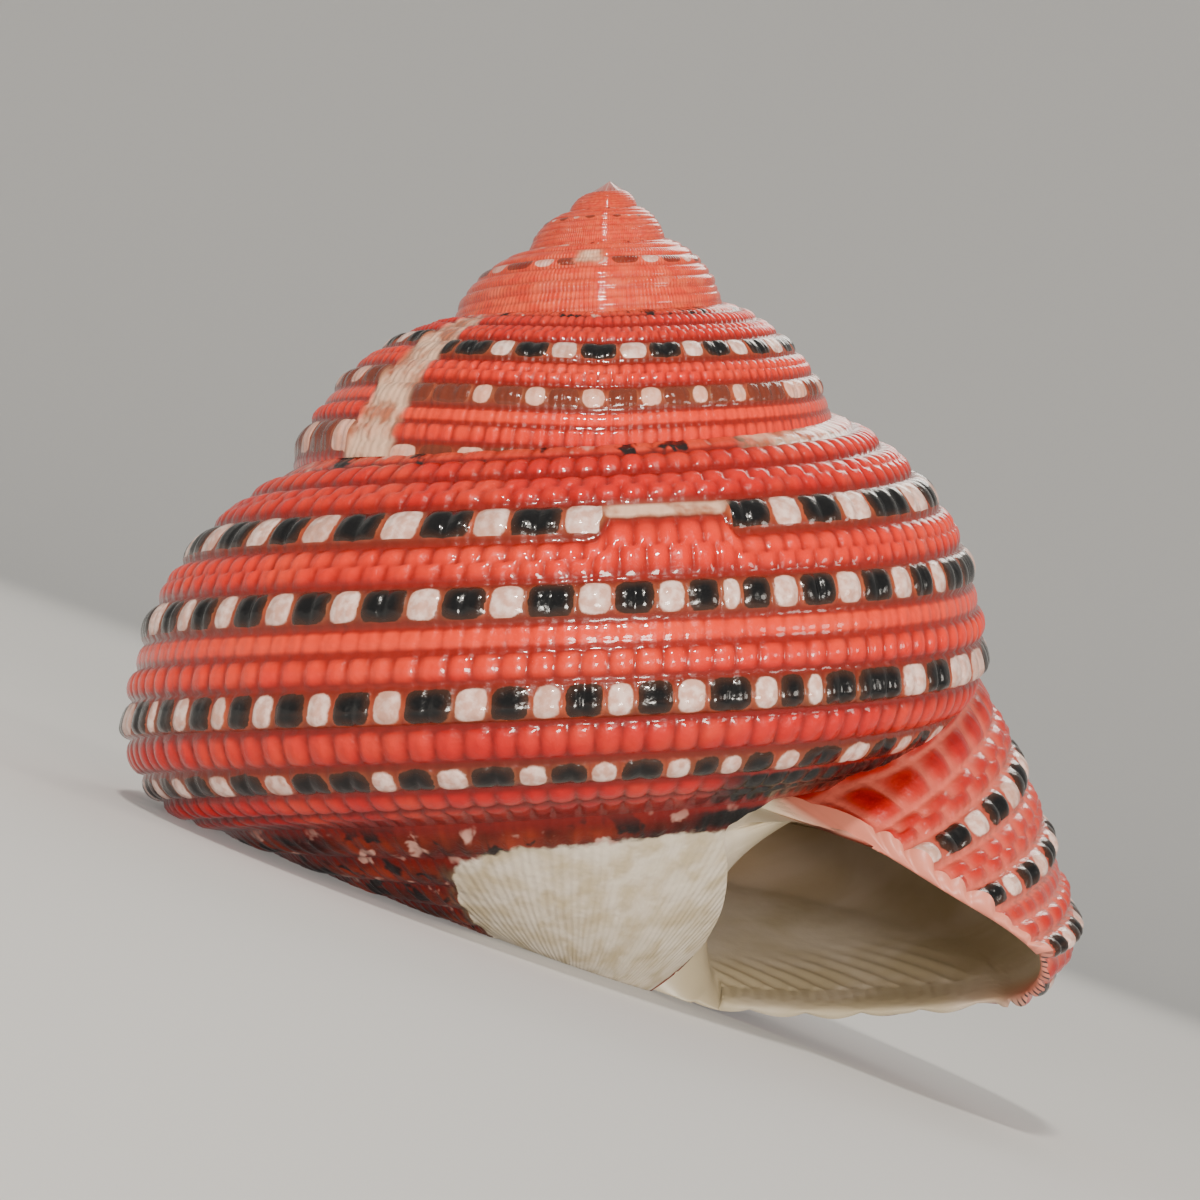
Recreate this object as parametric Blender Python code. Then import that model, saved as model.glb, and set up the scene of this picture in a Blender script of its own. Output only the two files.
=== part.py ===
# Top shell of the strawberry kind: one right-handed coil with corded whorls
# Lengths in millimetres until the mesh is written, growth in turns of the coil.
# Turn 0 crosses the front of the last whorl, the lip stands near turn 0.87.

from bisect import bisect_right
from math import cos, radians, sin

import bmesh
import bpy
from mathutils import Matrix, Vector

for item in list(bpy.data.objects):
    bpy.data.objects.remove(item, do_unlink=True)

MM = 0.001
COLUMNS = 52
FRONT_AZIMUTH = radians(-91)
WOUND_COLUMNS = 272
LIP_TURN = 0.87

# Whorl sizes at a few turns: radius and drop of the suture, radius and drop of
# the widest cord, swell of the flank, size of the lower flank, drop and radius
# of the base at the middle. Drops start where an unworn tip would be.
TURNS = (-1.0, -0.75, -0.25, 0.0, 0.25, 0.5, 0.75, 0.87)
SUTURE_R = (3.07, 3.35, 4.85, 5.63, 6.60, 7.25, 8.00, 7.12)
SUTURE_DROP = (2.99, 3.26, 4.68, 5.69, 6.62, 8.24, 10.02, 12.65)
WIDEST_R = (5.78, 6.65, 8.14, 8.86, 9.85, 10.25, 10.35, 10.75)
WIDEST_DROP = (6.14, 6.45, 9.55, 10.63, 12.20, 13.80, 14.90, 15.30)
SWELL = (0.125, 0.13, 0.145, 0.14, 0.14, 0.09, 0.04, 0.03)
LOWER = (0.75, 0.83, 0.97, 1.03, 1.03, 0.97, 0.86, 0.74)
MIDDLE_DROP = (15.7, 16.4, 17.45, 16.75, 15.7, 16.0, 17.25, 17.45)
MIDDLE_R = (1.45, 1.45, 1.45, 1.45, 1.45, 1.3, 0.8, 0.8)
WORN = 0.15
GROWTH_PER_TURN = 2.0

LOWER_IN = 1.79
LOWER_DOWN = 2.06
POLE_DROP = 15.3
CEILING_RISE = 1.6

# Cords from the suture down: upper edge, lower edge, height
# Places 0 to 1 run down the flank, 1 to 2 round the edge, 2 to 3 across the base
CORDS = (
    (0.000, 0.060, 0.06),
    (0.060, 0.165, 0.14),
    (0.165, 0.310, 0.16),
    (0.310, 0.460, 0.19),
    (0.460, 0.615, 0.15),
    (0.615, 0.750, 0.19),
    (0.750, 0.835, 0.05),
    (0.835, 0.930, 0.14),
    (0.930, 1.105, 0.20),
    (1.105, 1.385, 0.14),
    (1.385, 1.625, 0.15),
    (1.625, 1.870, 0.13),
    (1.870, 2.050, 0.11),
)
CORD_SINK = 0.12
FLATTENED = 0.5
BASE_CORDS = 6
BASE_CORD_HEIGHT = 0.10
COVERED_FROM = 2.0

# Lip and mouth
LIP_BACK = ((0.0, 0.0), (0.5, 0.015), (1.0, 0.04), (2.0, 0.08), (2.4, 0.105), (3.0, 0.12), (4.0, 0.12))
SHIELD_EDGE = ((1.96, 0.0), (2.05, 0.03), (2.12, 0.052), (2.3, 0.032), (2.55, -0.004), (2.8, -0.03), (4.0, -0.03))
WALL = 0.24
WALL_DEEP = 0.55
MOUTH_TURNS = 0.72
MOUTH_STEPS = 20
PILLAR_R = 2.9
CORNER_ROOM = 0.2

# Resting pose: the lean about Y, then the nod about X, and the depth of the
# small flat spots under it
REST_LEAN = radians(-17)
REST_NOD = radians(4)
FLAT = 0.2


def between(value, places, sizes):
    """Smooth curve through sizes given at places"""
    if value <= places[0]:
        return sizes[0]
    if value >= places[-1]:
        return sizes[-1]
    k = bisect_right(places, value) - 1
    step = places[k + 1] - places[k]
    slopes = []
    for a in (k, k + 1):
        lo, hi = max(a - 1, 0), min(a + 1, len(places) - 1)
        slopes.append((sizes[hi] - sizes[lo]) / (places[hi] - places[lo]) * step)
    f = (value - places[k]) / step
    return ((2 * f ** 3 - 3 * f ** 2 + 1) * sizes[k] + (f ** 3 - 2 * f ** 2 + f) * slopes[0]
            + (3 * f ** 2 - 2 * f ** 3) * sizes[k + 1] + (f ** 3 - f ** 2) * slopes[1])


def size(turn, sizes):
    """Size at a turn, shrinking evenly above the last measured whorl"""
    if turn < TURNS[0]:
        return sizes[0] * GROWTH_PER_TURN ** (turn - TURNS[0])
    return between(turn, TURNS, sizes)


def section(turn, place, ceiling=False):
    """Radius and drop of the smooth whorl at one place of its section"""
    r0, d0 = size(turn, SUTURE_R), size(turn, SUTURE_DROP)
    r1, d1 = size(turn, WIDEST_R), size(turn, WIDEST_DROP)
    if place <= 1:
        swell = 4 * between(turn, TURNS, SWELL) * place * (1 - place)
        return (r0 + (r1 - r0) * place + (d1 - d0) * swell,
                d0 + (d1 - d0) * place - (r1 - r0) * swell)
    low = between(turn, TURNS, LOWER)
    if turn < TURNS[0]:
        low *= GROWTH_PER_TURN ** (turn - TURNS[0])
    w = min(place - 1, 1)
    r = r1 - LOWER_IN * low * w ** 1.7
    d = d1 + LOWER_DOWN * low * (1 - (1 - w) ** 1.5)
    if place <= 2:
        return r, d
    middle = d + CEILING_RISE * low if ceiling else size(turn, MIDDLE_DROP)
    inner = MIDDLE_R[0] * low if ceiling else size(turn, MIDDLE_R)
    w = min(place - 2, 1)
    sag = 0.0 if ceiling else 0.85 * max(0.0, turn - 0.3) * sin(3.1416 * w)
    steep = min(1.8, max(1.3, 1.45 + 1.4 * turn))
    if place <= 3:
        return r + (inner - r) * w, d + (middle - d) * (1 - (1 - w) ** steep) + sag
    w = place - 3
    return inner * (1 - w), middle + (POLE_DROP - middle) * w


def outward(turn, place, ceiling=False):
    """Direction square to the section, away from the whorl"""
    r0, d0 = section(turn, place - 0.01, ceiling)
    r1, d1 = section(turn, place + 0.01, ceiling)
    dr, dd = r1 - r0, d1 - d0
    length = max((dr * dr + dd * dd) ** 0.5, 1e-9)
    return dd / length, -dr / length


def spot(turn, radius, drop):
    """Point in space, with the spire leaning a little"""
    azimuth = FRONT_AZIMUTH - radians(360) * turn
    lean = -0.25 * 2.718 ** (-((drop - WORN) / 3.5) ** 2)
    return Vector((radius * cos(azimuth) + lean, radius * sin(azimuth), WORN - drop))


# Lines that run along the coil, each with its place and its height
LINES = [(CORDS[0][0], 0.0)]
for top, bottom, height in CORDS:
    LINES.append(((top + bottom) / 2, height))
    LINES.append((bottom, 0.0))
base_step = (2.94 - CORDS[-1][1]) / BASE_CORDS
for n in range(BASE_CORDS):
    LINES.append((CORDS[-1][1] + (n + 0.5) * base_step, BASE_CORD_HEIGHT))
    LINES.append((CORDS[-1][1] + (n + 1) * base_step, 0.0))
LINES.append((3.4, 0.0))
LAST = len(LINES)
COVER = next(k for k, line in enumerate(LINES) if line[0] > COVERED_FROM) - 1


def raised(turn, line):
    """Point on the corded surface; cords flatten out where the next whorl covers them"""
    place, height = LINES[line]
    r, d = section(turn, place)
    nr, nd = outward(turn, place)
    free = 1.0
    if turn < LIP_TURN - 1 and place:
        free = min(1.0, max(0.0, (size(turn + 1, SUTURE_DROP) - d) / FLATTENED))
    scale = min(1.0, size(turn, WIDEST_R) / WIDEST_R[1])
    height = (height * free - CORD_SINK) * scale
    return spot(turn, r + nr * height, d + nd * height)


def place_at(turn, drop):
    """Place on the section where it reaches a drop"""
    lo, hi = 0.0, 2.3
    for _ in range(30):
        mid = (lo + hi) / 2
        if section(turn, mid, True)[1] < drop:
            lo = mid
        else:
            hi = mid
    return lo


TOTAL = WOUND_COLUMNS
START = TOTAL - COLUMNS
FIRST_TURN = LIP_TURN - TOTAL / COLUMNS


def curve(pairs, value):
    return between(value, [p[0] for p in pairs], [p[1] for p in pairs])


def shield_turn(place):
    return LIP_TURN - 1 + curve(SHIELD_EDGE, place)


def lip_turn(place):
    return LIP_TURN - curve(LIP_BACK, place)


def turn_of(column, line):
    """Growth at one column of one line; lower lines lag behind the suture"""
    if column < START:
        return FIRST_TURN + column / COLUMNS
    place = LINES[line][0]
    first = shield_turn(place) if line > COVER else LIP_TURN - 1
    return first + (lip_turn(place) - first) * (column - START) / COLUMNS


def corner(column, line):
    """Name of a mesh corner; covered and crowded corners share one name"""
    if line >= LAST:
        return "pole"
    if line and column < COLUMNS:
        return column + COLUMNS, 0
    if column < START:
        turn = FIRST_TURN + column / COLUMNS
        if turn < -1.3 and 0 < line < COVER:
            line += line % 2
            column -= column % 2
        if turn < -2.3 and 0 < line < COVER:
            line += -line % 4
            column -= column % 4
        turn = FIRST_TURN + column / COLUMNS
        hidden = size(turn + 1, SUTURE_DROP) - 0.05 * size(turn, SUTURE_DROP)
        if line >= COVER or line and section(turn, LINES[line][0])[1] > hidden:
            return column + COLUMNS, 0
    elif column == START and line == COVER:
        return TOTAL, 0
    return column, line


def corner_at(name):
    if name == "pole":
        return Vector((0, 0, WORN - POLE_DROP))
    column, line = name
    turn = turn_of(column, line)
    if line:
        return raised(turn, line)
    # The suture lies on the whorl above
    drop = size(turn, SUTURE_DROP)
    place = place_at(turn - 1, drop)
    r, d = section(turn - 1, place, True)
    nr, nd = outward(turn - 1, place, True)
    sink = CORD_SINK * min(1.0, size(turn, WIDEST_R) / WIDEST_R[1])
    return spot(turn, r - nr * sink, d - nd * sink)


# Hollow behind the mouth: a wall side, a middle pillar and a ceiling side
LIP_LINES = [k for k in range(LAST) if LINES[k][0] < 2 or section(LIP_TURN, LINES[k][0])[0] > PILLAR_R]
SHIELD_LINES = [k for k in range(LAST - 1, COVER, -1) if LINES[k][0] < 2.55]
PILLAR_COUNT = (LAST - len(LIP_LINES)) + 1 + (LAST - 1 - COVER - len(SHIELD_LINES))


def hollow(turn, kind, part, wall):
    """Radius and drop of the hollow at one turn"""
    inner = PILLAR_R * size(turn, WIDEST_R) / WIDEST_R[-1]
    if kind == "wall":
        place = part if part > 1 else CORNER_ROOM + (1 - CORNER_ROOM) * part
        r, d = section(turn, place)
        nr, nd = outward(turn, place)
        return max(r - nr * wall, inner), d - nd * wall
    if kind == "ceiling":
        high = place_at(turn - 1, size(turn, SUTURE_DROP)) + CORNER_ROOM
        place = high + (2.75 - high) * part
        r, d = section(turn - 1, place, True)
        nr, nd = outward(turn - 1, place, True)
        return max(r + nr * wall, inner), d + nd * wall
    floor = hollow(turn, "wall", LINES[LIP_LINES[-1]][0], wall)
    roof = hollow(turn, "ceiling", 1.0, wall)
    bulge = 0.25 * sin(3.1416 * part)
    return floor[0] + (roof[0] - floor[0]) * part + bulge, floor[1] + (roof[1] - floor[1]) * part


def mouth_loop():
    """Kind, part and starting turn for every corner of the mouth"""
    loop = [("wall", LINES[k][0], lip_turn(LINES[k][0])) for k in LIP_LINES]
    low, high = loop[-1][2], shield_turn(LINES[SHIELD_LINES[0]][0]) + 1
    for n in range(PILLAR_COUNT):
        part = (n + 1) / (PILLAR_COUNT + 1)
        loop.append(("pillar", part, low + (high - low) * part))
    top, end = LINES[SHIELD_LINES[-1]][0], LINES[SHIELD_LINES[0]][0]
    for k in SHIELD_LINES:
        part = 0.08 + 0.92 * (LINES[k][0] - top) / (end - top)
        loop.append(("ceiling", part, shield_turn(LINES[k][0]) + 1))
    return loop


def hollow_at(entry, step, edge_point):
    kind, part, begin = entry
    f = step / MOUTH_STEPS
    settle = min(1.0, step / 5)
    settle = settle * settle * (3 - 2 * settle)
    turn = begin + (LIP_TURN - 0.08 - begin) * settle - MOUTH_TURNS * f
    if kind == "pillar" and step == 0:
        turn -= 0.01
    wall = WALL + (WALL_DEEP - WALL) * f ** 0.5
    r, d = hollow(turn, kind, part, wall)
    inner = spot(turn, r, d)
    if kind == "wall" or edge_point is None:
        return inner
    blend = min(1.0, (step + 0.35) / (4 if kind == "pillar" else 1 + 4 * part))
    return edge_point + (inner - edge_point) * blend


def build_shell():
    mesh = bmesh.new()
    found = {}

    def vert(name):
        if name not in found:
            found[name] = mesh.verts.new(corner_at(name) * MM)
        return found[name]

    def face(corners):
        kept = []
        for vertex in corners:
            if vertex not in kept:
                kept.append(vertex)
        if len(kept) >= 3:
            mesh.faces.new(kept)

    # Tip
    ring = [corner(c, 0) for c in range(COLUMNS + 1)]
    tip = mesh.verts.new(Vector((-0.25, 0, 0)) * MM)
    for a, b in zip(ring, ring[1:] + ring[:1]):
        face((tip, vert(b), vert(a)))

    # Spire and last whorl
    for c in range(TOTAL):
        for k in range(COVER if c < START else LAST):
            names = corner(c, k), corner(c + 1, k), corner(c + 1, k + 1), corner(c, k + 1)
            face([vert(n) for n in names])

    # Lip edge, then the hollow step by step and its end
    edge = [vert(corner(TOTAL, k)) for k in range(LAST)] + [vert("pole")]
    edge += [vert(corner(START, k)) for k in range(LAST - 1, COVER, -1)]
    loop = mouth_loop()
    starts = [None if e[0] == "wall" else v.co / MM for e, v in zip(loop, edge)]
    before = edge
    for step in range(MOUTH_STEPS + 1):
        ring = [mesh.verts.new(hollow_at(e, step, s) * MM) for e, s in zip(loop, starts)]
        for n in range(len(ring)):
            m = (n + 1) % len(ring)
            face((before[n], ring[n], ring[m], before[m]))
        before = ring
    middle = sum((v.co for v in before), Vector()) / len(before)
    end = mesh.verts.new(middle)
    for n in range(len(before)):
        face((before[n], end, before[(n + 1) % len(before)]))
    return mesh


def lay_down(mesh):
    """Lean the shell over, cut the small flat spots and set the origin in the middle of it all"""
    turned = Matrix.Rotation(REST_NOD, 4, "X") @ Matrix.Rotation(REST_LEAN, 4, "Y")
    bmesh.ops.transform(mesh, matrix=turned, verts=mesh.verts)
    low = min(v.co.z for v in mesh.verts) + FLAT * MM
    cut = bmesh.ops.bisect_plane(
        mesh, geom=mesh.verts[:] + mesh.edges[:] + mesh.faces[:],
        plane_co=(0, 0, low), plane_no=(0, 0, -1), clear_outer=True)
    rims = [e for e in cut["geom_cut"] if isinstance(e, bmesh.types.BMEdge)]
    bmesh.ops.holes_fill(mesh, edges=rims, sides=0)
    xs, ys = [v.co.x for v in mesh.verts], [v.co.y for v in mesh.verts]
    middle = Vector(((min(xs) + max(xs)) / 2, (min(ys) + max(ys)) / 2, low))
    bmesh.ops.translate(mesh, vec=-middle, verts=mesh.verts)
    return middle


def shell_material():
    material = bpy.data.materials.new("coral red shell")
    material.use_nodes = True
    shader = material.node_tree.nodes["Principled BSDF"]
    shader.inputs["Base Color"].default_value = (0.62, 0.10, 0.06, 1)
    shader.inputs["Roughness"].default_value = 0.32
    shader.inputs["Metallic"].default_value = 0.0
    return material


shell_mesh = build_shell()
lay_down(shell_mesh)
bmesh.ops.recalc_face_normals(shell_mesh, faces=shell_mesh.faces)
data = bpy.data.meshes.new("shell")
shell_mesh.to_mesh(data)
shell_mesh.free()
shell = bpy.data.objects.new("shell", data)
bpy.context.scene.collection.objects.link(shell)
data.materials.append(shell_material())
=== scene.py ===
from math import pi, radians

import bpy
import numpy as np
from mathutils import Matrix, Vector


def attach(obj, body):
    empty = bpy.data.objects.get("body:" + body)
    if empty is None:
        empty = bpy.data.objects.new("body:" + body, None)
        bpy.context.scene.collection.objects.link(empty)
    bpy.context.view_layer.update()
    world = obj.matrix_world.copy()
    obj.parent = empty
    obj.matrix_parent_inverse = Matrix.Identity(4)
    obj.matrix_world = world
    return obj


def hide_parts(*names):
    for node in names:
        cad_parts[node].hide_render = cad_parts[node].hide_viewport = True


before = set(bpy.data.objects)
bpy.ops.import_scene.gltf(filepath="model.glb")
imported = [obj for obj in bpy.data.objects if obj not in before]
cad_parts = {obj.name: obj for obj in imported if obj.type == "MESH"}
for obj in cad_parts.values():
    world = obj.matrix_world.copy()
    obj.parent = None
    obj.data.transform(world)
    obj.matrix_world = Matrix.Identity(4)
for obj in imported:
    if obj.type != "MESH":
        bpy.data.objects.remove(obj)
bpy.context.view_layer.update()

# Spire
# The older whorls, grown first: a right-handed coil of hard lime with a coral
# skin, worn to salmon at the tip. Each whorl is grown on to the one above it, and
# its flat cords turn into rows of fine beads further down.
MM = 0.001
# Sizes of the whorl at each of these turns, in millimetres; turn 0 is in front
TURNS = (-1.0, -0.75, -0.25, 0.0, 0.25, 0.5, 0.75, 0.87)
SUTURE_R = (3.07, 3.35, 4.85, 5.63, 6.60, 7.25, 8.00, 7.12)
SUTURE_DROP = (2.99, 3.26, 4.68, 5.69, 6.62, 8.24, 10.02, 12.65)
WIDEST_R = (5.78, 6.65, 8.14, 8.86, 9.85, 10.25, 10.35, 10.75)
WIDEST_DROP = (6.14, 6.45, 9.55, 10.63, 12.20, 13.80, 14.90, 15.30)
SWELL = (0.125, 0.13, 0.145, 0.14, 0.14, 0.09, 0.04, 0.03)
LOWER = (0.75, 0.83, 0.97, 1.03, 1.03, 0.97, 0.86, 0.74)
MIDDLE_DROP = (15.7, 16.4, 17.45, 16.75, 15.7, 16.0, 17.25, 17.45)
MIDDLE_R = (1.45, 1.45, 1.45, 1.45, 1.45, 1.3, 0.8, 0.8)
WORN = 0.15
GROWTH_PER_TURN = 2.0
LOWER_IN = 1.79
LOWER_DOWN = 2.06
POLE_DROP = 15.3
CEILING_RISE = 1.6
FRONT_AZIMUTH = radians(-91)
FIRST_TURN = -4.36
LIP_TURN = 0.87
CORD_SINK = 0.12
GROOVE = 0.03
FLATTENED = 0.5
FULL_SIZE_R = 8.86

# The way it rests: lean, nod, and the middle of its flat spots
REST = (Matrix.Translation((-0.004022018, -0.001502954, 0.015697831))
        @ Matrix.Rotation(radians(4), 4, "X") @ Matrix.Rotation(radians(-17), 4, "Y"))

# Rows from the suture down: upper edge, lower edge, height, kind, beads a turn
# on the last whorl, mesh rows
ROWS = (
    (0.000, 0.060, 0.06, "fleck", 60, 4),
    (0.060, 0.165, 0.14, "red", 88, 6),
    (0.165, 0.310, 0.16, "double", 84, 9),
    (0.310, 0.460, 0.19, "cells", 88, 8),
    (0.460, 0.615, 0.15, "double", 104, 10),
    (0.615, 0.750, 0.19, "cells", 104, 9),
    (0.750, 0.835, 0.05, "plain", 128, 4),
    (0.835, 0.930, 0.14, "red", 108, 7),
    (0.930, 1.105, 0.20, "cells", 108, 10),
    (1.105, 1.385, 0.14, "red", 104, 8),
    (1.385, 1.625, 0.15, "cells", 108, 7),
    (1.625, 1.870, 0.13, "red", 104, 6),
    (1.870, 2.050, 0.11, "red", 100, 4),
)
BASE_CORDS = 6
BASE_END = 2.94
BASE_HEIGHT = 0.10
BASE_BEADS = 95
OLD_BEADS = 118
BEAD_SPREAD = 0.16
LIP_BEAD_GROWTH = 0.28
SPARE_TURN = 0.1

# Middles of black and white patches along each chequered row, in turns
PATCHES = {
    0.310: ((0.1347, 0.0983, 0.0594, 0.0247, -0.0649, -0.1009, -0.1463),
            (0.1462, 0.1147, 0.0773, 0.0405, 0.0037, -0.0831, -0.1220)),
    0.615: ((0.2209, 0.1827, 0.1573, 0.1313, 0.1024, 0.0737, 0.0445, 0.0137, -0.0162,
             -0.0418, -0.0609, -0.0881, -0.1184, -0.1482, -0.1772),
            (0.1987, 0.1712, 0.1444, 0.1166, 0.0888, 0.0584, 0.0291, -0.0020, -0.0291,
             -0.0518, -0.0734, -0.1037, -0.1344, -0.1630)),
    0.930: ((0.1896, 0.1703, 0.1463, 0.1263, 0.1031, 0.0790, 0.0528, 0.0246, -0.0002,
             -0.0239, -0.0505, -0.0744, -0.0928, -0.1173, -0.1534),
            (0.2123, 0.1805, 0.1587, 0.1359, 0.1153, 0.0923, 0.0668, 0.0366, 0.0124,
             -0.0124, -0.0361, -0.0656, -0.0844, -0.1349, -0.1676)),
    1.385: ((0.0826, 0.0588, 0.0297, 0.0030, -0.0222, -0.0465, -0.0684, -0.0949),
            (0.0721, 0.0470, 0.0172, -0.0080, -0.0373, -0.0561, -0.0798)),
}
OLD_PATCHES = {
    0.310: (-0.9088, -0.9502, -0.9971, -1.0469, -1.0892, -1.1350, -1.1932),
    0.615: (-0.9140, -0.9454, -0.9779, -1.0133, -1.0480, -1.0779, -1.1073),
}
BLACK_SHARE, WHITE_SHARE = 0.57, 0.43
PATCH_SPREAD = 0.2
PAIR_BEADS = 3
OLD_PATCH_BEADS, OLDEST_PATCH_BEADS = 66, 40
PATCH_CORNERS = 12

# Turns of the healed breaks: in the first chequered row, and down the older whorl
GAP = (-0.0555, -0.003)
HEAL = (-0.879, -0.846)
ROW_JUMP = 0.115

# Upper edge of the callus: turn, place
CALLUS_EDGE = (
    (-0.13, 2.14), (-0.087, 2.13), (-0.05, 2.11), (-0.02, 2.125), (0.02, 2.145),
    (0.054, 2.175), (0.07, 2.24), (0.085, 2.5), (0.10, 2.8), (0.12, 3.0), (0.14, 3.4))
CALLUS_SLOPE = 5.5


def between(value, places, sizes):
    """Smooth curve through sizes given at places"""
    places, sizes = np.array(places, float), np.array(sizes, float)
    every = np.arange(len(places))
    before, after = np.maximum(every - 1, 0), np.minimum(every + 1, len(places) - 1)
    slopes = (sizes[after] - sizes[before]) / (places[after] - places[before])
    value = np.clip(value, places[0], places[-1])
    k = np.clip(np.searchsorted(places, value, side="right") - 1, 0, len(places) - 2)
    step = places[k + 1] - places[k]
    f = (value - places[k]) / step
    return ((2 * f ** 3 - 3 * f ** 2 + 1) * sizes[k]
            + (f ** 3 - 2 * f ** 2 + f) * slopes[k] * step
            + (3 * f ** 2 - 2 * f ** 3) * sizes[k + 1]
            + (f ** 3 - f ** 2) * slopes[k + 1] * step)


def shrunk(turn):
    """Share of full size on the whorls older than the first measured one"""
    return GROWTH_PER_TURN ** np.minimum(turn - TURNS[0], 0)


def size(turn, sizes):
    """One of the sizes of the whorl at any turn"""
    return between(turn, TURNS, sizes) * shrunk(turn)


def section(turn, place, ceiling=False):
    """Radius and drop of the smooth whorl: 0 suture, 1 widest cord, 2 rim, 3 middle, 4 pole"""
    turn, place = np.broadcast_arrays(np.asarray(turn, float), np.asarray(place, float))
    r0, d0 = size(turn, SUTURE_R), size(turn, SUTURE_DROP)
    r1, d1 = size(turn, WIDEST_R), size(turn, WIDEST_DROP)
    swell = 4 * between(turn, TURNS, SWELL) * place * (1 - place)
    side = (r0 + (r1 - r0) * place + (d1 - d0) * swell,
            d0 + (d1 - d0) * place - (r1 - r0) * swell)
    low = between(turn, TURNS, LOWER) * shrunk(turn)
    w = np.clip(place - 1, 0, 1)
    edge = r1 - LOWER_IN * low * w ** 1.7, d1 + LOWER_DOWN * low * (1 - (1 - w) ** 1.5)
    middle = edge[1] + CEILING_RISE * low if ceiling else size(turn, MIDDLE_DROP)
    inner = MIDDLE_R[0] * low if ceiling else size(turn, MIDDLE_R)
    w = np.clip(place - 2, 0, 1)
    sag = 0 if ceiling else 0.85 * np.maximum(0, turn - 0.3) * np.sin(3.1416 * w)
    steep = np.clip(1.45 + 1.4 * turn, 1.3, 1.8)
    base = (edge[0] + (inner - edge[0]) * w,
            edge[1] + (middle - edge[1]) * (1 - (1 - w) ** steep) + sag)
    w = np.clip(place - 3, 0, 1)
    pole = inner * (1 - w), middle + (POLE_DROP - middle) * w
    return tuple(np.where(place <= 1, a, np.where(place <= 2, b, np.where(place <= 3, c, d)))
                 for a, b, c, d in zip(side, edge, base, pole))


def outward(turn, place, ceiling=False):
    """Direction square to the section, away from the whorl"""
    r0, d0 = section(turn, place - 0.01, ceiling)
    r1, d1 = section(turn, place + 0.01, ceiling)
    length = np.maximum(np.hypot(r1 - r0, d1 - d0), 1e-9)
    return (d1 - d0) / length, (r0 - r1) / length


def spot(turn, radius, drop):
    """Points in space around the axis of the coil, in millimetres"""
    azimuth = FRONT_AZIMUTH - 2 * pi * turn
    lean = -0.25 * 2.718 ** (-((drop - WORN) / 3.5) ** 2)
    return np.stack([radius * np.cos(azimuth) + lean, radius * np.sin(azimuth), WORN - drop], -1)


def place_at(turn, drop):
    """Place on the section where it reaches a drop"""
    low, high = np.zeros_like(turn), np.full_like(turn, 2.3)
    for _ in range(26):
        mid = (low + high) / 2
        above = section(turn, mid, True)[1] < drop
        low, high = np.where(above, mid, low), np.where(above, high, mid)
    return low


def ease(value, start, end):
    """0 before start, 1 after end, with a smooth rise between them"""
    f = np.clip((value - start) / (end - start), 0, 1)
    return f * f * (3 - 2 * f)


def bead_edges(count, seed):
    """Turns at which one bead of a row ends and the next begins"""
    rng = np.random.default_rng(seed)
    turn, edges = FIRST_TURN - SPARE_TURN, []
    while turn < LIP_TURN + SPARE_TURN:
        edges.append(turn)
        here = OLD_BEADS + (count - OLD_BEADS) * ease(turn, -0.45, -0.1)
        here = here * (1 - LIP_BEAD_GROWTH * ease(turn, 0.68, 0.80))
        turn += (1 + rng.uniform(-BEAD_SPREAD, BEAD_SPREAD)) / here
    return np.array(edges)


def patch_edges(top, count, seed):
    """Turns at which patches of a chequered row meet, and whether each patch is black"""
    rng = np.random.default_rng(seed)
    known = sorted([(t, True) for t in PATCHES[top][0]] + [(t, False) for t in PATCHES[top][1]])
    older = sorted((t, True) for t in OLD_PATCHES.get(top, ()))
    if older:
        pairs = list(zip(older, older[1:]))
        older += [((a[0] + b[0]) / 2 + 0.002, False) for a, b in pairs]
        older.sort()

    def fill(start, end):
        made, black, turn = [], True, start
        while turn < end:
            older_count = OLD_PATCH_BEADS if turn > -1.4 else OLDEST_PATCH_BEADS
            period = PAIR_BEADS / (count if turn > -0.2 else older_count)
            width = period * (BLACK_SHARE if black else WHITE_SHARE)
            width = width * (1 + rng.uniform(-PATCH_SPREAD, PATCH_SPREAD))
            made.append((turn + width / 2, black))
            turn += width
            black = not black
        if made and made[-1][0] > end - 0.006:
            made.pop()
        return made

    middles = []
    if older:
        middles += fill(FIRST_TURN - SPARE_TURN, older[0][0] - 0.02) + older
        middles += fill(older[-1][0] + 0.02, known[0][0] - 0.012)
    else:
        middles += fill(FIRST_TURN - SPARE_TURN, known[0][0] - 0.012)
    middles += known + fill(known[-1][0] + 0.012, LIP_TURN + SPARE_TURN)
    edges, kinds = [middles[0][0] - 0.02], []
    for (a, black), (b, _) in zip(middles, middles[1:]):
        edges.append(a + (b - a) * (BLACK_SHARE if black else WHITE_SHARE))
        kinds.append(black)
    return np.array(edges), np.array(kinds)


def strip(value, start, end, soft):
    """1 between start and end, 0 outside, with soft ends"""
    return ease(value, start - soft, start + soft) * (1 - ease(value, end - soft, end + soft))


def callus_reach(turn, place):
    """Distance in millimetres inside the cream callus on the front of the base"""
    edge = between(turn, *zip(*CALLUS_EDGE))
    near = (turn < 0.16) & (turn > LIP_TURN - 1.02) & (place > 2)
    return np.where(near, (place - edge) * CALLUS_SLOPE, -1.0)


def row_shift(turn):
    """How far the rows jump up after the healed break on the older whorl"""
    return ROW_JUMP * ease(turn, -0.852, -0.842) * (1 - ease(turn, -0.70, -0.45))


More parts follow.
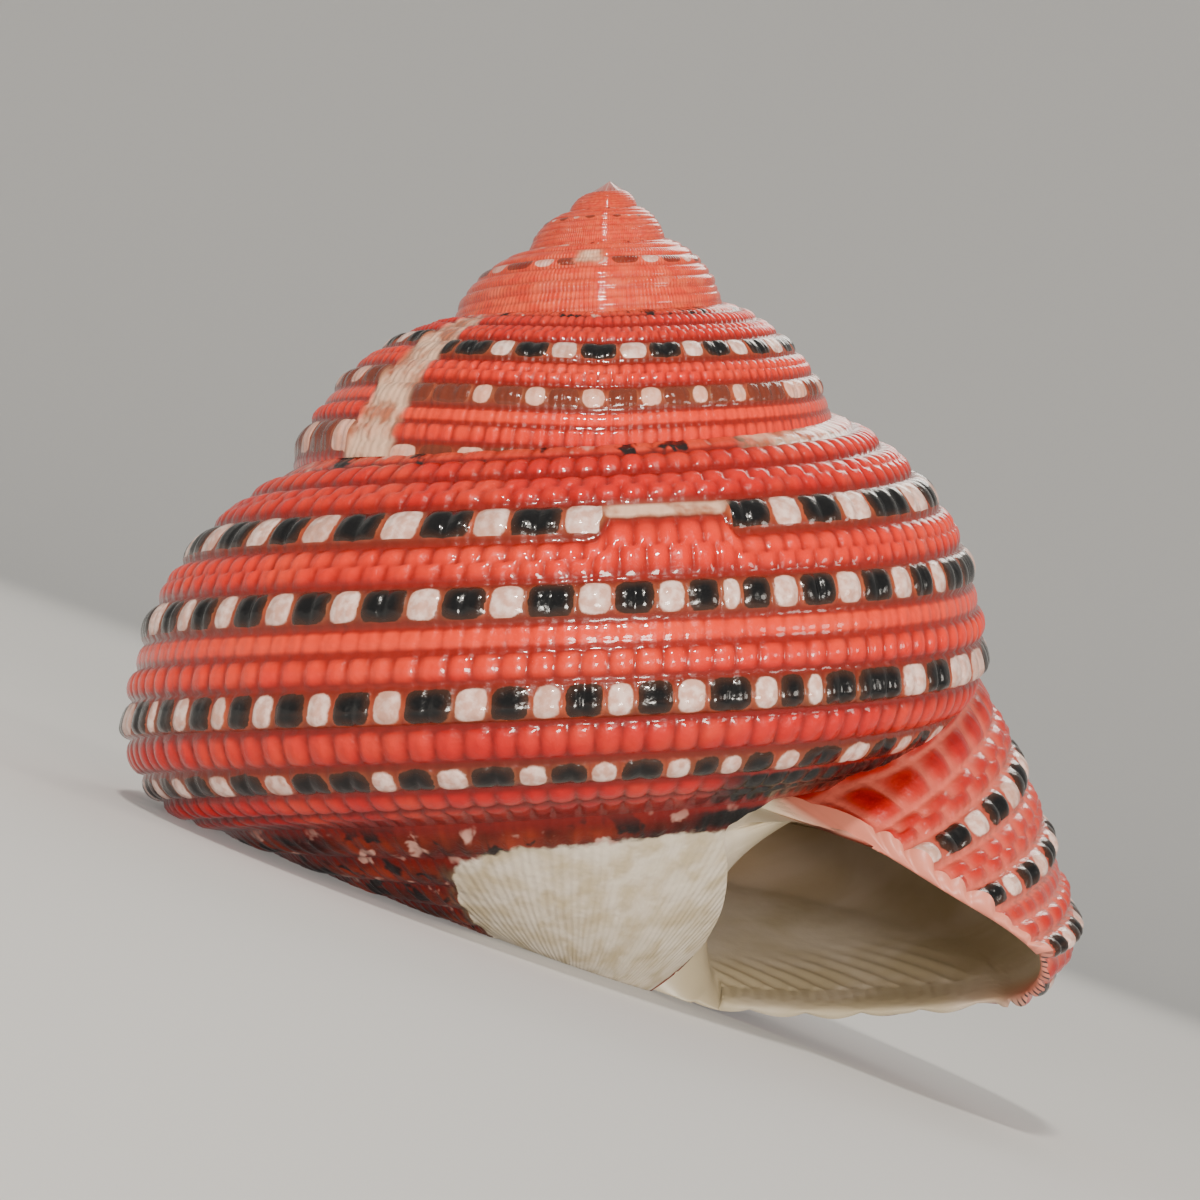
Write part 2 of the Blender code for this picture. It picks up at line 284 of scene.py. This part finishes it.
def relief(turn, place):
    """Height of the cords and beads, and the marks that colour them"""
    r, d = section(turn, place)
    r2, d2 = section(turn, place + 0.01)
    stretch = np.hypot(r2 - r, d2 - d) * 100
    scale = np.minimum(1, size(turn, WIDEST_R) / FULL_SIZE_R)
    row = place + row_shift(turn) * ease(place, 0.0, 0.3)
    # Healed breaks: the first chequered row is pulled thin in its gap, and pale
    # strips run down the older whorl, near the tip and along the suture
    gap = strip(turn, *GAP, 0.003)
    pulled = np.interp(row, (0.0, 0.31, 0.378, 0.386, 0.615, 4.0),
                       (0.0, 0.31, 0.345, 0.465, 0.615, 4.0))
    row = row + gap * (pulled - row)
    heal = strip(turn, *HEAL, 0.004) * ease(place, 0.03, 0.1)
    scar = np.maximum(heal, gap * strip(row, 0.314, 0.348, 0.006))
    scar = np.maximum(scar, strip(turn, -1.995, -1.955, 0.008) * strip(place, 0.2, 0.42, 0.05))
    scar = np.maximum(scar, 0.8 * strip(turn, -0.19, -0.085, 0.01) * (1 - ease(place, 0.05, 0.09)))
    callus = callus_reach(turn, place)
    height = np.full(row.shape, -GROOVE)
    black, white = np.full(row.shape, -1.0), np.full(row.shape, -1.0)
    crest = np.zeros(row.shape)
    beaded = ease(turn, -1.6, -1.1)
    swollen = ease(turn, 0.66, 0.8)
    for n, (top, bottom, tall, kind, count, _) in enumerate(ROWS):
        inside = (row >= top) & (row < bottom)
        across = 2 * (row - top) / (bottom - top) - 1
        rim = np.minimum(row - top, bottom - row) * stretch
        if kind == "cells":
            edges, kinds = patch_edges(top, count, n)
            k = np.clip(np.searchsorted(edges, turn, side="right") - 1, 0, len(kinds) - 1)
            width = edges[k + 1] - edges[k]
            beads = np.maximum(1, np.rint(width * count * (1 - 0.3 * (turn < -0.2))))
            phase = (turn - edges[k]) / width * beads
            side = np.minimum(turn - edges[k], edges[k + 1] - turn) * 2 * pi * r
            patch = -np.log(np.exp(-PATCH_CORNERS * side)
                            + np.exp(-PATCH_CORNERS * (rim - 0.04 * scale))) / PATCH_CORNERS
            patch = np.where((scar > 0.4) | ((n == 3) & (gap > 0.4)), -1.0, patch)
            black = np.where(inside & kinds[k], patch, black)
            white = np.where(inside & ~kinds[k], patch, white)
            depth = 0.45
        else:
            edges = bead_edges(count, n)
            k = np.clip(np.searchsorted(edges, turn, side="right") - 1, 0, len(edges) - 2)
            phase = (turn - edges[k]) / (edges[k + 1] - edges[k])
            depth = {"plain": 0.4, "fleck": 0.6, "red": 0.66, "double": 0.6}[kind]
        crown = (1 - np.clip(across, -1, 1) ** 2) ** 0.7
        if kind == "double":
            # Two lines of beads side by side on one cord
            phase = phase + 0.5 * (across > 0)
            crown = crown * (0.72 + 0.28 * np.abs(np.sin(pi * across)) ** 0.6)
        sway = 2 * (phase % 1) - 1
        order = np.floor(phase) + 7 * k
        uneven = np.abs(np.sin(order * 12.9898 + n) * 43758.5453) % 1
        bead = (1 - sway ** 2) ** 0.75 * (0.8 + 0.2 * uneven)
        deep = depth * beaded * (1 + 0.35 * swollen)
        form = crown * (1 - deep + deep * bead)
        tall = tall * (1 + 0.3 * swollen) * (1 - 0.6 * scar)
        height = np.where(inside, (tall + GROOVE) * form - GROOVE, height)
        crest = np.where(inside, form, crest)
    base = (row >= ROWS[-1][1]) & (row < BASE_END)
    cord = (row - ROWS[-1][1]) / (BASE_END - ROWS[-1][1]) * BASE_CORDS
    lump = 0.5 + 0.5 * np.sin(2 * pi * BASE_BEADS * turn + 2 * np.floor(cord))
    form = np.sin(pi * (cord % 1)) ** 0.8 * (0.6 + 0.4 * lump)
    height = np.where(base, (BASE_HEIGHT + GROOVE) * form - GROOVE, height)
    crest = np.where(base, form, crest)
    free = np.where(turn < LIP_TURN - 1,
                    np.clip((size(turn + 1, SUTURE_DROP) - d) / FLATTENED, 0, 1), 1.0)
    height = np.where(height > 0, height * free, height)
    black = np.where(black > -1, black / np.maximum(scale, 0.2), black)
    white = np.where(white > -1, white / np.maximum(scale, 0.2), white)
    smooth = ease(callus, -0.05, 0.2)
    height = height * (1 - smooth) + 0.03 * smooth
    return (height - CORD_SINK) * scale, {
        "row": row, "turn": turn, "black": black, "white": white, "crest": crest,
        "scar": scar, "callus": callus}


def outside(turn, place):
    """Points of the corded outside; the suture row lies in the whorl above"""
    r, d = section(turn, place)
    nr, nd = outward(turn, place)
    height, marks = relief(turn, place)
    points = spot(turn, r + nr * height, d + nd * height)
    drop = size(turn, SUTURE_DROP)
    older = place_at(turn - 1, drop)
    sr, sd = section(turn - 1, older, True)
    ur, ud = outward(turn - 1, older, True)
    sink = (CORD_SINK + 0.04) * np.minimum(1, size(turn, WIDEST_R) / FULL_SIZE_R)
    seam = spot(turn, sr - ur * sink, sd - ud * sink)
    w = np.clip(place / (0.03 + 0.12 * ease(turn, 0.55, 0.8)), 0, 1)[..., None]
    points = seam + (points - seam) * w
    pole = np.broadcast_to(place > 3.99, points.shape[:-1])[..., None]
    return np.where(pole, np.array((0, 0, WORN - POLE_DROP)), points), marks


def row_places():
    """Places of the mesh rows down the flank, closer together on the cords"""
    places = [0.0]
    for top, bottom, _, _, _, steps in ROWS:
        places += [top + (bottom - top) * (k + 1) / steps for k in range(steps)]
    return np.array(places)


def grown_sheet(name, points, marks):
    """A grid with every corner moved to its place on the coil, in rows of growth"""
    rows, columns = points.shape[:2]
    bpy.ops.object.select_all(action="DESELECT")
    bpy.ops.mesh.primitive_grid_add(x_subdivisions=columns - 1, y_subdivisions=rows - 1, size=2)
    piece = bpy.context.object
    piece.name = piece.data.name = name
    flat = np.empty(len(piece.data.vertices) * 3)
    piece.data.vertices.foreach_get("co", flat)
    flat = flat.reshape(-1, 3)
    i = np.rint((flat[:, 0] + 1) / 2 * (columns - 1)).astype(int)
    j = np.rint((flat[:, 1] + 1) / 2 * (rows - 1)).astype(int)
    rest = np.array(REST)
    laid = (points * MM) @ rest[:3, :3].T + rest[:3, 3]
    laid[..., 2] = np.maximum(laid[..., 2], 0)
    piece.data.vertices.foreach_set("co", laid[j, i].astype(np.float32).ravel())
    for word, values in marks.items():
        layer = piece.data.attributes.new(word, "FLOAT", "POINT")
        values = np.broadcast_to(values, (rows, columns))[j, i]
        layer.data.foreach_set("value", values.astype(np.float32))
    piece.data.update()
    bpy.ops.object.mode_set(mode="EDIT")
    bpy.ops.mesh.select_all(action="SELECT")
    bpy.ops.mesh.remove_doubles(threshold=2e-6)
    bpy.ops.mesh.dissolve_degenerate(threshold=1e-7)
    bpy.ops.object.mode_set(mode="OBJECT")
    bpy.ops.object.shade_smooth()
    return piece


def join_frame(piece):
    """Tie a sheet to the frame: it stands for the one solid of the shell"""
    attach(piece, "root")
    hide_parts("shell")


def tint(red, green, blue):
    """Linear colour from the everyday 0 to 255 kind"""
    return tuple((c / 255 / 12.92) if c < 10.3 else ((c / 255 + 0.055) / 1.055) ** 2.4
                 for c in (red, green, blue)) + (1.0,)


class Wash:
    """One value or colour inside a finish; sums on it become nodes"""

    def __init__(self, finish, socket):
        self.finish, self.socket = finish, socket

    def math(self, operation, *values):
        sockets = dict(enumerate(values))
        return self.finish.node("ShaderNodeMath", {"operation": operation}, sockets)

    def __add__(self, other):
        return self.math("ADD", self, other)

    __radd__ = __add__

    def __sub__(self, other):
        return self.math("SUBTRACT", self, other)

    def __rsub__(self, other):
        return self.math("SUBTRACT", other, self)

    def __mul__(self, other):
        return self.math("MULTIPLY", self, other)

    __rmul__ = __mul__


class Finish:
    """A material of one surface of the shell, put together from nodes"""

    def __init__(self, name):
        self.material = bpy.data.materials.new(name)
        self.material.use_nodes = True
        self.nodes = self.material.node_tree.nodes
        self.links = self.material.node_tree.links
        self.glaze = self.nodes["Principled BSDF"]

    def node(self, kind, settings, sockets, output=0):
        made = self.nodes.new(kind)
        for word, value in settings.items():
            if word == "stops":
                ramp = made.color_ramp
                while len(ramp.elements) < len(value):
                    ramp.elements.new(1.0)
                for element, (position, colour) in zip(ramp.elements, value):
                    element.position = position
                    element.color = colour
            else:
                setattr(made, word, value)
        for word, value in sockets.items():
            self.feed(made.inputs[word], value)
        return Wash(self, made.outputs[output])

    def feed(self, target, value):
        if isinstance(value, Wash):
            self.links.new(value.socket, target)
        else:
            target.default_value = value

    def mark(self, word):
        return self.node("ShaderNodeAttribute", {"attribute_name": word}, {}, "Fac")

    def grain(self, scale, detail, twist=0.0):
        place = self.node("ShaderNodeTexCoord", {}, {}, "Object")
        return self.node("ShaderNodeTexNoise", {}, {
            "Vector": place, "Scale": scale, "Detail": detail, "Distortion": twist}, "Fac")

    def rise(self, value, start, end, low=0.0, high=1.0):
        return self.node("ShaderNodeMapRange", {"interpolation_type": "SMOOTHSTEP"}, {
            "Value": value, "From Min": start, "From Max": end, "To Min": low, "To Max": high})

    def mix(self, factor, first, second):
        return self.node("ShaderNodeMix", {"data_type": "RGBA"}, {
            "Factor": factor, 6: first, 7: second}, 2)

    def ramp(self, value, stops):
        return self.node("ShaderNodeValToRGB", {"stops": stops}, {"Fac": value}, "Color")


TAN = tint(128, 72, 44)
SALMON = tint(228, 84, 48)
CREAM = tint(224, 212, 194)


def corded_finish():
    """Coral skin with black and white patches, a hard gloss and fine growth lines"""
    finish = Finish("corded coral shell")
    row, turn = finish.mark("row"), finish.mark("turn")
    black, white, crest = finish.mark("black"), finish.mark("white"), finish.mark("crest")
    span = 3.4
    bands = (
        (0.000, tint(196, 70, 44)), (0.052, tint(192, 34, 20)), (0.066, tint(186, 6, 6)),
        (0.160, tint(206, 10, 7)), (0.300, tint(200, 10, 7)), (0.316, TAN), (0.452, TAN),
        (0.468, tint(232, 38, 10)), (0.605, tint(220, 28, 8)), (0.622, TAN), (0.742, TAN),
        (0.758, tint(232, 50, 18)), (0.840, tint(228, 42, 14)), (0.922, tint(212, 22, 10)),
        (0.938, TAN), (1.092, TAN), (1.112, tint(208, 18, 14)), (1.375, tint(186, 8, 10)),
        (1.395, TAN), (1.612, TAN), (1.636, tint(194, 10, 14)), (1.860, tint(170, 10, 14)),
        (2.030, tint(140, 14, 18)), (2.080, tint(38, 5, 4)), (2.500, tint(36, 8, 6)),
        (2.800, tint(100, 72, 56)), (3.400, tint(70, 52, 44)))
    ground = finish.ramp(row * (1 / span), [(place / span, colour) for place, colour in bands])
    cloud = finish.grain(650, 3)
    fine = finish.grain(5200, 3)
    coiled = finish.node("ShaderNodeCombineXYZ", {}, {"X": turn * 55, "Y": row * 9})
    streaks = finish.node("ShaderNodeTexNoise", {}, {
        "Vector": coiled, "Scale": 1.0, "Detail": 3.0, "Distortion": 0.3}, "Fac")
    ground = finish.mix(finish.rise(cloud, 0.35, 0.7) * 0.30, ground, tint(236, 84, 44))
    near_lip = finish.rise(turn, 0.66, 0.80)
    # Painted shade: the grooves between beads and cords turn dark red; near the lip they turn
    # pink, the skin's own colour there
    hollows = finish.rise(crest, 0.85, 0.25)
    groove_shade_and_lip_pink = finish.mix(near_lip, tint(104, 12, 8), tint(208, 104, 86))
    ground = finish.mix(hollows * 0.82, ground, groove_shade_and_lip_pink)
    ground = finish.mix(crest * near_lip * 0.75, ground, tint(140, 5, 12))
    old = finish.rise(turn, -1.05, -1.6, 0.0, 0.9)
    spire_skin = finish.mix(finish.rise(streaks, 0.35, 0.65), SALMON, tint(212, 54, 28))
    # Painted shade: on the spire the grooves between the cords turn a darker brown-red
    ground = finish.mix(old, ground, finish.mix((1 - crest) * 0.5, spire_skin, tint(170, 56, 40)))
    # Flecks at the suture and on the base
    seam = 1 - finish.rise(row, 0.06, 0.085)
    under = finish.rise(row, 2.02, 2.10) * (1 - finish.rise(row, 3.0, 3.2))
    flecked = finish.node("ShaderNodeMath", {"operation": "MAXIMUM"}, {
        0: seam * (1 - near_lip), 1: under})
    ground = finish.mix(finish.rise(streaks, 0.56, 0.62) * flecked, ground, tint(30, 18, 18))
    light_flecks = finish.rise(streaks, 0.40, 0.33) * flecked * 0.75
    ground = finish.mix(light_flecks, ground, tint(214, 164, 148))
    # Black and white patches
    edge = (fine - 0.5) * 0.09
    dark = finish.rise(black + edge, 0.02, 0.05)
    pale = finish.rise(white + edge, 0.03, 0.07)
    second = finish.rise(row, 0.58, 0.61) * finish.rise(turn, -0.55, -0.75)
    faded = finish.rise(turn, -1.9, -1.3, 0.7, 1.0)
    faded = faded * (1 - second * finish.rise(turn, -1.2, -1.4) * 0.9)
    ink = finish.mix(finish.rise(black + edge, 0.22, 0.02), tint(12, 12, 14), tint(58, 34, 24))
    ink = finish.mix(second * 0.75, ink, tint(120, 52, 34))
    chalk = finish.mix(finish.rise(fine, 0.35, 0.65), tint(236, 204, 192), tint(206, 158, 140))
    chalk = finish.mix(second * 0.6, chalk, tint(222, 150, 120))
    chalk = finish.mix(finish.rise(cloud, 0.5, 0.7) * 0.5, chalk, tint(178, 128, 108))
    ground = finish.mix(pale * faded, ground, chalk)
    ground = finish.mix(dark * faded, ground, ink)
    beside = finish.rise(turn, -0.045, -0.07) * finish.rise(turn, -0.2, -0.15)
    beside = beside * finish.rise(row, 1.60, 1.66) * (1 - finish.rise(row, 2.10, 2.13))
    ground = finish.mix(beside * finish.rise(crest, 0.15, 0.4), ground, tint(16, 13, 13))
    # Healed breaks and the callus on the front of the base
    scar = finish.mark("scar") * finish.rise(cloud, 0.2, 0.45)
    blotch = finish.rise(finish.grain(1500, 3), 0.4, 0.6)
    healed = finish.mix(blotch, tint(232, 190, 160), tint(170, 104, 74))
    ground = finish.mix(scar * 0.9, ground, healed)
    ragged = finish.mark("callus") + (cloud - 0.5) * 0.6 + (fine - 0.5) * 0.2
    callus = finish.rise(ragged, 0.0, 0.12)
    fibre = finish.rise(finish.mark("callus"), -0.95, -0.2) * finish.rise(row, 2.18, 2.3)
    ground = finish.mix(fibre * finish.rise(streaks, 0.38, 0.6), ground, tint(104, 82, 62))
    cream = finish.mix(finish.rise(streaks, 0.35, 0.7), CREAM, tint(196, 180, 148))
    ground = finish.mix(callus, ground, cream)
    glaze = finish.glaze
    finish.feed(glaze.inputs["Base Color"], ground)
    rough = 0.36 + (fine - 0.5) * 0.12 - dark * 0.14 + callus * 0.12
    finish.feed(glaze.inputs["Roughness"], rough)
    finish.feed(glaze.inputs["Coat Weight"], 0.55 - callus * 0.5 - under * (1 - callus) * 0.4)
    glaze.inputs["Specular IOR Level"].default_value = 0.22
    glaze.inputs["IOR"].default_value = 1.5
    glaze.inputs["Coat Roughness"].default_value = 0.06
    lines = finish.node("ShaderNodeTexWave", {"wave_type": "BANDS", "bands_direction": "X"}, {
        "Vector": finish.node("ShaderNodeCombineXYZ", {}, {"X": turn * 60, "Y": row * 3}),
        "Scale": 1.0, "Distortion": 3.0, "Detail": 2.0}, "Fac")
    bump = finish.node("ShaderNodeBump", {}, {
        "Height": fine * 0.5 + lines * 0.3 + finish.grain(1900, 3) * 1.5,
        "Strength": 0.6, "Distance": 0.00007})
    finish.feed(glaze.inputs["Normal"], bump)
    return finish.material


def columns(stations):
    """Turns of the mesh columns, from (first turn, last turn, columns) runs"""
    runs = [np.linspace(a, b, count, endpoint=False) for a, b, count in stations]
    return np.concatenate(runs + [[stations[-1][1]]])


SPIRE_END = -0.63
TIP = np.array((-0.25, 0, 0))
# How far back from the front of the lip each place of it stands: place, turns
LIP_BACK = (
    (0.0, 0.0), (0.5, 0.015), (1.0, 0.04), (2.0, 0.08), (2.4, 0.105), (3.0, 0.12), (4.0, 0.12))
flank = row_places()
coral = corded_finish()


def lip_turn(place):
    """Turn at which the lip stands; its lower part lags behind"""
    return LIP_TURN - between(place, *zip(*LIP_BACK))


def coil_sheet(name, stations):
    """One run of the flank, tucked in under the whorl that grew after it"""
    turn, place = np.meshgrid(columns(stations), flank)
    cover = place_at(turn[0], size(turn[0] + 1, SUTURE_DROP))
    start = LIP_TURN - 1
    place = np.minimum(place, np.where(turn[0] < start, cover + 0.03, 9))
    turn = np.where(turn > start, start + (turn - start) * (lip_turn(place) - start), turn)
    points, marks = outside(turn, place)
    # The first turn closes over the tip
    tip = np.where((turn[0] < FIRST_TURN + 1)[:, None], TIP, points[0])
    points = np.concatenate((tip[None], points))
    marks = {word: np.concatenate((values[:1], values)) for word, values in marks.items()}
    piece = grown_sheet(name, points, marks)
    piece.data.materials.append(coral)
    join_frame(piece)
    return piece


spire = coil_sheet("spire", (
    (FIRST_TURN, -3.36, 70), (-3.36, -2.36, 190), (-2.36, -1.36, 380), (-1.36, SPIRE_END, 430)))

# Last whorl
# The newest and largest turn, from the back round the front to the lip. It is
# grown of the same lime and skin, straight on from the spire, and its rows of
# beads carry the black and white patches.
last_whorl = coil_sheet("last_whorl", (
    (SPIRE_END, -0.25, 230), (-0.25, 0.25, 440), (0.25, 0.60, 210), (0.60, LIP_TURN, 200)))

# Base
# The underside of the last whorl, grown in one with it: low cords in a dark red
# skin, sloping in to the closed middle. The cream callus covers its front.

# Where the mouth's edge crosses the base: place, and turns from the point that
# is one round before the lip
SHIELD_EDGE = (
    (1.96, 0.0), (2.05, 0.03), (2.12, 0.052), (2.3, 0.032), (2.55, -0.004), (2.8, -0.03),
    (4.0, -0.03))
underside = np.concatenate((
    np.linspace(ROWS[-1][1], BASE_END, 108), np.linspace(BASE_END, 3.4, 9)[1:]))


def shield_turn(place):
    """Turn at which the callus ends on the base"""
    return LIP_TURN - 1 + between(place, *zip(*SHIELD_EDGE))


along, place = np.meshgrid(np.linspace(0, 1, 620), np.append(underside, (3.6, 3.8, 4.0)))
turn = shield_turn(place) + (lip_turn(place) - shield_turn(place)) * along
points, marks = outside(turn, place)
base = grown_sheet("base", points, marks)
base.data.materials.append(coral)
join_frame(base)

# Mouth
# The smooth lining, laid down last in cream layers: the bevelled pink lip, the
# ridged inside of the last whorl, the middle pillar and the roof, which meets the
# callus on the base.
WALL = 0.24
WALL_DEEP = 0.55
MOUTH_TURNS = 0.72
MOUTH_STEPS = 20
PILLAR_R = 2.9
CORNER_ROOM = 0.2
WALL_END = 2.7175
ROOF_END = 2.495
RIDGES = 15
RIDGE_HEIGHT = 0.07
RIDGE_SLANT = 0.3
LIP_FOLD = 0.35


def hollow(turn, kind, part, wall):
    """Radius and drop of the hollow at one turn"""
    inner = PILLAR_R * size(turn, WIDEST_R) / WIDEST_R[-1]
    if kind == "wall":
        place = part if part > 1 else CORNER_ROOM + (1 - CORNER_ROOM) * part
        r, d = section(turn, place)
        nr, nd = outward(turn, place)
        return np.maximum(r - nr * wall, inner), d - nd * wall
    if kind == "roof":
        high = place_at(turn - 1, size(turn, SUTURE_DROP)) + CORNER_ROOM
        place = high + (2.75 - high) * part
        r, d = section(turn - 1, place, True)
        nr, nd = outward(turn - 1, place, True)
        return np.maximum(r + nr * wall, inner), d + nd * wall
    low, high = hollow(turn, "wall", WALL_END, wall), hollow(turn, "roof", 1.0, wall)
    return (low[0] + (high[0] - low[0]) * part + 0.25 * np.sin(pi * part),
            low[1] + (high[1] - low[1]) * part)


rim = np.concatenate((flank, underside[1:], [4.0], underside[::-1]))
outer = len(flank) + len(underside) - 1
rim_turn = np.where(np.arange(len(rim)) <= outer, lip_turn(rim), shield_turn(rim))
rim_points, _ = outside(rim_turn, rim)
walls = int(np.sum((np.arange(len(rim)) < outer) & (rim <= WALL_END)))
roofs = int(np.sum((np.arange(len(rim)) > outer) & (rim <= ROOF_END)))
pillars = len(rim) - walls - roofs
pillar_low, pillar_high = lip_turn(WALL_END), shield_turn(ROOF_END) + 1
steps = np.concatenate((
    np.linspace(-LIP_FOLD, 0, 8), np.linspace(0, 1, 10)[1:], np.linspace(1, 5, 22)[1:],
    np.linspace(5, MOUTH_STEPS, 20)[1:]))
f = np.maximum(steps, 0) / MOUTH_STEPS
settle = ease(steps, 0, 5)
ring_points, callus = [], []
for n, place in enumerate(rim):
    if n < walls:
        kind, part, begin = "wall", place, lip_turn(place)
    elif n < walls + pillars:
        part = (n - walls + 1) / (pillars + 1)
        kind, begin = "pillar", pillar_low + (pillar_high - pillar_low) * part
    else:
        kind, begin = "roof", shield_turn(place) + 1
        part = 0.08 + 0.92 * (place - rim[-1]) / (ROOF_END - rim[-1])
    here = begin + (LIP_TURN - 0.08 - begin) * settle - MOUTH_TURNS * f
    wall = WALL + (WALL_DEEP - WALL) * f ** 0.5
    if kind == "wall":
        strength = RIDGE_HEIGHT * ease(place, 1.7, 2.2) * ease(steps, 0, 0.3)
        strength = strength * (1 - ease(steps, 1.2, 4))
        wave = np.sin(2 * pi * RIDGES * (place + RIDGE_SLANT * steps))
        wall = wall + strength * (0.5 + 0.5 * wave) ** 1.5
    inside = spot(here, *hollow(here, kind, part, wall))
    if kind == "wall":
        w = np.clip((steps + LIP_FOLD) / LIP_FOLD, 0, 1)
        bulge = spot(here + 0.0016, *hollow(here, kind, part, wall)) - inside
        inside = rim_points[n] + (inside - rim_points[n]) * w[:, None]
        inside = inside + bulge * np.sin(pi * w)[:, None]
    else:
        w = np.clip((steps + LIP_FOLD) / (4 if kind == "pillar" else 1 + 4 * part), 0, 1)
        inside = rim_points[n] + (inside - rim_points[n]) * w[:, None]
    ring_points.append(inside)
    callus.append(0.0 if kind == "wall" else 1.0)
ring_points.append(ring_points[0])
callus.append(callus[0])
ring_points = np.array(ring_points)
last_ring = ring_points[:, -1:]
end = np.broadcast_to(last_ring.mean(axis=0, keepdims=True), last_ring.shape)
ring_points = np.concatenate((ring_points, end), axis=1)
deep = np.append(steps, MOUTH_STEPS + 1)[None, :]
around = np.append(rim, rim[0])[:, None]


NOTCHES = 17


def pearl_finish():
    """Cream lining, pink and marked with dark notches at the lip, with painted shade that browns
    it deeper into the mouth
    """
    finish = Finish("cream mouth lining")
    deep, around, callus = finish.mark("deep"), finish.mark("around"), finish.mark("callus")
    fine, cloud = finish.grain(3800, 3), finish.grain(420, 3, 0.4)
    ground = finish.mix(finish.rise(cloud, 0.35, 0.65), CREAM, tint(200, 186, 156))
    # Painted shade: the lining turns brown deeper into the mouth, starting further in on its lower
    # part
    low = finish.rise(around, 1.7, 2.3)
    depth = finish.rise(deep - low * 2.6, 1.6, 11.0)
    ground = finish.mix(depth * (1 - callus * 0.5), ground, tint(176, 134, 92))
    flare = (1 - finish.rise(around, 1.55, 2.2)) * (1 - callus)
    lip = 1 - finish.rise(deep + (cloud - 0.5) * 0.3, 0.05, 0.9)
    ground = finish.mix(flare * lip, ground, tint(216, 128, 106))
    comb = finish.node("ShaderNodeMath", {"operation": "SINE"}, {0: around * (2 * pi * NOTCHES)})
    notch = finish.rise(comb + (fine - 0.5), 0.3, 0.7) * (1 - finish.rise(deep, -0.22, -0.05))
    notch = notch * (1 - callus) * finish.rise(around, 0.9, 1.1)
    notch = notch * (1 - finish.rise(around, 1.75, 1.95))
    ground = finish.mix(notch, ground, tint(44, 28, 26))
    glaze = finish.glaze
    finish.feed(glaze.inputs["Base Color"], ground)
    finish.feed(glaze.inputs["Roughness"], 0.42 + (fine - 0.5) * 0.1)
    glaze.inputs["Coat Weight"].default_value = 0.15
    glaze.inputs["Coat Roughness"].default_value = 0.3
    finish.feed(glaze.inputs["Normal"], finish.node("ShaderNodeBump", {}, {
        "Height": fine * 0.5 + finish.grain(1200, 3) * 1.0, "Strength": 0.3, "Distance": 0.00006}))
    return finish.material


mouth = grown_sheet("mouth", ring_points, {
    "deep": deep, "around": around, "callus": np.array(callus)[:, None]})
mouth.data.materials.append(pearl_finish())
join_frame(mouth)

# Floor
# A plain pale studio floor of paper, which curves up into its own backdrop all
# round. It isn't part of the shell.
FLOOR_R = 0.30
# Each ring of the curve: its rise in metres, and how much wider it is
CURVE = ((0.004, 1.12), (0.02, 1.12), (0.05, 1.10), (0.09, 1.07), (0.16, 1.04), (0.5, 1.0))
bpy.ops.object.select_all(action="DESELECT")
bpy.ops.mesh.primitive_circle_add(vertices=96, radius=FLOOR_R, fill_type="NGON")
floor = bpy.context.object
floor.name = "floor"
bpy.ops.object.mode_set(mode="EDIT")
for lift, widen in CURVE:
    bpy.ops.mesh.extrude_region_move(TRANSFORM_OT_translate={"value": (0, 0, lift)})
    bpy.ops.transform.resize(value=(widen, widen, 1))
bpy.ops.object.mode_set(mode="OBJECT")
bpy.ops.object.shade_smooth()
paper = Finish("pale paper")
paper.glaze.inputs["Base Color"].default_value = tint(190, 189, 187)
paper.glaze.inputs["Roughness"].default_value = 1.0
paper.glaze.inputs["Specular IOR Level"].default_value = 0.0
paper.glaze.inputs["Emission Color"].default_value = tint(236, 234, 230)
paper.glaze.inputs["Emission Strength"].default_value = 0.20
floor.data.materials.append(paper.material)

# Studio light
# A soft main lamp over the left shoulder, weaker ones from the right and from
# behind, and a low one in front that lights the mouth, under an even pale sky.
WARM = (1.0, 0.94, 0.85)


def lamp(name, place, wide, power):
    bpy.ops.object.light_add(type="AREA", location=place)
    light = bpy.context.object
    light.name = name
    light.data.shape = "DISK"
    light.data.size = wide
    light.data.energy = power
    light.data.color = WARM
    aim = Vector((0, 0, 0.008)) - Vector(place)
    light.rotation_euler = aim.to_track_quat("-Z", "Y").to_euler()


lamp("main lamp", (-0.05, -0.15, 0.17), 0.022, 0.38)
lamp("side lamp", (0.17, -0.10, 0.09), 0.06, 0.12)
lamp("rear lamp", (0.02, 0.18, 0.15), 0.10, 0.15)
lamp("low lamp", (0.04, -0.22, 0.02), 0.06, 0.50)
sky = bpy.data.worlds.new("even sky")
sky.use_nodes = True
sky.node_tree.nodes["Background"].inputs["Color"].default_value = (1.0, 0.96, 0.90, 1)
sky.node_tree.nodes["Background"].inputs["Strength"].default_value = 0.22
bpy.context.scene.world = sky

# Camera
# It looks at the front of the shell from 72 mm away and tilts down a little. It
# leans with the shell, so the shell stands upright in the picture.
PICTURE = 1200
SENSOR = 36
PIXEL = 0.021e-3
FOCAL = 3439.6272
AXIS_X, TIP_Y = 621.7133, 181.7484
TILT, ROLL = radians(1.7187), radians(3.2096)
ahead = Vector((0, np.cos(TILT), -np.sin(TILT)))
side, up = Vector((1, 0, 0)), Vector((0, np.sin(TILT), np.cos(TILT)))
right = side * np.cos(ROLL) + up * np.sin(ROLL)
over = -side * np.sin(ROLL) + up * np.cos(ROLL)
eye = (-(AXIS_X - PICTURE / 2) * PIXEL * right - (PICTURE / 2 - TIP_Y) * PIXEL * over
       - FOCAL * PIXEL * ahead)
bpy.ops.object.camera_add()
camera = bpy.context.object
camera.data.sensor_width = SENSOR
camera.data.lens = SENSOR * FOCAL / PICTURE
camera.data.clip_start = 0.001
facing = Matrix((right, over, -ahead)).transposed().to_4x4()
camera.matrix_world = REST @ Matrix.Translation(eye) @ facing
bpy.context.scene.camera = camera
